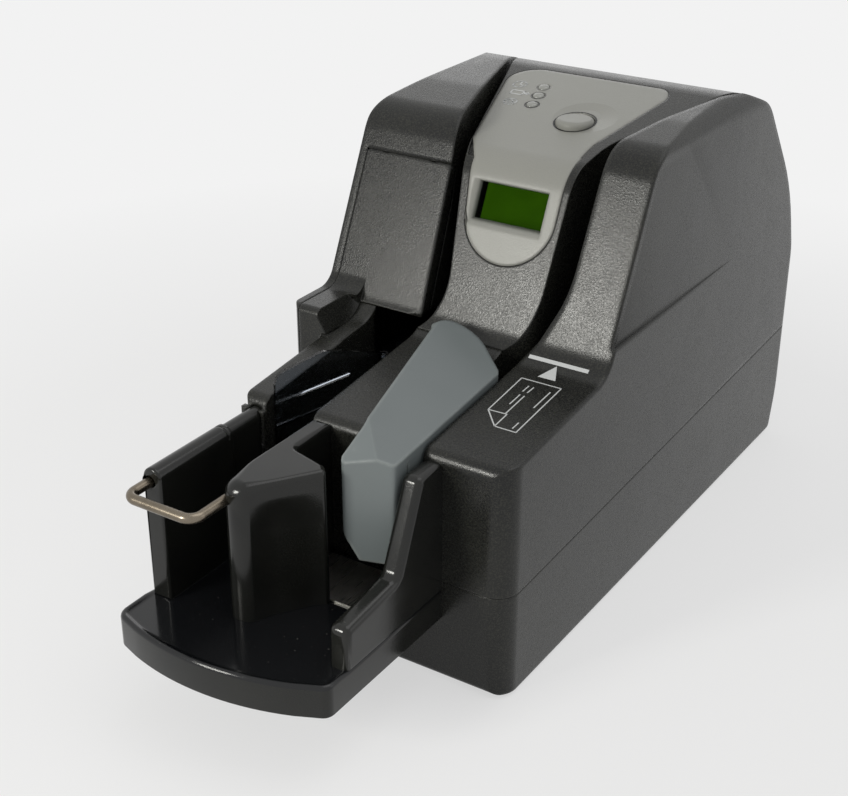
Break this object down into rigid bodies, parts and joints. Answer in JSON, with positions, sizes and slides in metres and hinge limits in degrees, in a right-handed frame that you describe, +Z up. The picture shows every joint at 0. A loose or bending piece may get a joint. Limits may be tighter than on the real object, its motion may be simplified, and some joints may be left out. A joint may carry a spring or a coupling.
{
  "type": "cheque scanner",
  "caption": "Black desktop cheque scanner with a feed hopper, a U-shaped track in flared slots, a wire-stopped stacker tray, a grey display panel and a side door.",
  "frame": {"origin": "on the table under the middle of the overall length and width", "axes": "+X to the right side, +Y to the rear, +Z up"},
  "size_m": [0.1624, 0.4368, 0.2294],
  "materials": {
    "shell_black": "fine texture",
    "tray_black": "polished",
    "panel_grey": "fine texture",
    "button_grey": "satin",
    "flag_grey": "satin",
    "smoke_clear": "clear",
    "wire_chrome": "polished",
    "plate_steel": "brushed",
    "shaft_steel": "ground",
    "bush_brass": "plain",
    "roller_rubber": "matt",
    "foot_rubber": "matt",
    "belt_rubber": "matt",
    "motor_case": "satin",
    "display_green": "smooth",
    "window_clear": "clear",
    "lamp_lens": "smooth",
    "board_green": "satin",
    "sensor_black": "smooth",
    "head_steel": "ground",
    "ink_case": "satin",
    "socket_black": "satin",
    "socket_steel": "plain",
    "screw_steel": "zinc"
  },
  "bodies": {
    "housing": {"base_housing": "shell_black", "right_cover": "shell_black", "left_cover": "shell_black", "centre_console": "shell_black", "centre_deck": "shell_black", "control_panel": "panel_grey", "display_module": "display_green", "display_window": "window_clear", "status_lamps": "lamp_lens", "panel_board": "board_green", "front_tray": "tray_black", "pocket_wall": "shell_black", "pocket_wedge": "shell_black", "divider_pin": "shaft_steel", "flag_pin": "shaft_steel", "flag_spring": "shaft_steel", "hopper_plate": "plate_steel", "chassis_plate": "plate_steel", "idler_pins": "shaft_steel", "shaft_bushes": "bush_brass", "drive_belts": "belt_rubber", "main_motor": "motor_case", "front_image_sensor": "sensor_black", "rear_image_sensor": "sensor_black", "magnetic_head": "head_steel", "ink_cartridge": "ink_case", "cartridge_cradle": "socket_black", "main_board": "board_green", "power_inlet": "socket_black", "data_port": "socket_steel", "door_hinge_pin": "shaft_steel", "rubber_feet": "foot_rubber", "housing_screws": "screw_steel"},
    "door": {"access_door": "shell_black"},
    "button": {"feed_button": "button_grey"},
    "stop": {"wire_stop": "wire_chrome"},
    "divider": {"pocket_divider": "smoke_clear"},
    "flag": {"feeder_flag": "flag_grey"},
    "feed_drive": {"feed_roller": "roller_rubber", "feed_shaft": "shaft_steel"},
    "entry_drive": {"entry_roller": "roller_rubber", "entry_shaft": "shaft_steel"},
    "separator": {"separator_roller": "roller_rubber"},
    "turn_drive_right": {"turn_roller_right": "roller_rubber", "turn_shaft_right": "shaft_steel"},
    "turn_drive_left": {"turn_roller_left": "roller_rubber", "turn_shaft_left": "shaft_steel"},
    "pinch_right": {"pinch_roller_right": "roller_rubber"},
    "pinch_left": {"pinch_roller_left": "roller_rubber"},
    "motor_rotor": {"motor_shaft": "shaft_steel"}
  },
  "joints": [
    {"name": "door_hinge", "type": "hinge", "parent": "housing", "child": "door", "pos_m": [-0.05, 0.01048, 0.20101], "axis": [-1, 0, 0], "range_deg": [0, 45]},
    {"name": "button_press", "type": "slide", "parent": "housing", "child": "button", "axis": [0, 0, -1], "range_m": [0, 0.0012], "stiffness_N_per_m": 700, "springref_m": -0.0008},
    {"name": "stop_slide", "type": "slide", "parent": "housing", "child": "stop", "axis": [0, -1, 0], "range_m": [-0.008, 0.02]},
    {"name": "divider_swing", "type": "hinge", "parent": "housing", "child": "divider", "pos_m": [-0.0254, -0.05395, 0.085], "axis": [0, 0, 1], "range_deg": [0, 20], "stiffness_Nm_per_rad": 0.02, "springref_deg": -5.73},
    {"name": "flag_swing", "type": "hinge", "parent": "housing", "child": "flag", "pos_m": [-0.0016, -0.04005, 0.13], "axis": [0, 0, -1], "range_deg": [0, 9], "stiffness_Nm_per_rad": 0.25, "springref_deg": -14.32, "deforming": ["flag_spring"]},
    {"name": "feed_spin", "type": "hinge", "parent": "housing", "child": "feed_drive", "pos_m": [0.0468, -0.08205, 0.085], "axis": [0, 0, 1], "continuous": true},
    {"name": "entry_spin", "type": "hinge", "parent": "housing", "child": "entry_drive", "pos_m": [0.0458, -0.03605, 0.085], "axis": [0, 0, 1], "continuous": true},
    {"name": "separator_spin", "type": "hinge", "parent": "housing", "child": "separator", "pos_m": [0.0278, -0.03605, 0.085], "axis": [0, 0, 1], "continuous": true},
    {"name": "turn_right_spin", "type": "hinge", "parent": "housing", "child": "turn_drive_right", "pos_m": [0.06946, 0.07075, 0.085], "axis": [0, 0, 1], "continuous": true},
    {"name": "turn_left_spin", "type": "hinge", "parent": "housing", "child": "turn_drive_left", "pos_m": [-0.04579, 0.05878, 0.085], "axis": [0, 0, 1], "continuous": true},
    {"name": "pinch_right_spin", "type": "hinge", "parent": "housing", "child": "pinch_right", "pos_m": [0.05667, 0.07356, 0.085], "axis": [0, 0, 1], "continuous": true},
    {"name": "pinch_left_spin", "type": "hinge", "parent": "housing", "child": "pinch_left", "pos_m": [-0.03315, 0.06222, 0.085], "axis": [0, 0, 1], "continuous": true},
    {"name": "motor_spin", "type": "hinge", "parent": "housing", "child": "motor_rotor", "pos_m": [0.034, 0.03, 0.036], "axis": [0, 0, 1], "continuous": true}
  ],
  "couplings": [
    {"joint": "entry_spin", "follows": "feed_spin", "ratio": 1},
    {"joint": "turn_right_spin", "follows": "feed_spin", "ratio": 1},
    {"joint": "turn_left_spin", "follows": "feed_spin", "ratio": 1},
    {"joint": "motor_spin", "follows": "feed_spin", "ratio": 1},
    {"joint": "separator_spin", "follows": "feed_spin", "ratio": -1.175},
    {"joint": "pinch_right_spin", "follows": "feed_spin", "ratio": -1.0833},
    {"joint": "pinch_left_spin", "follows": "feed_spin", "ratio": -1.0833}
  ]
}
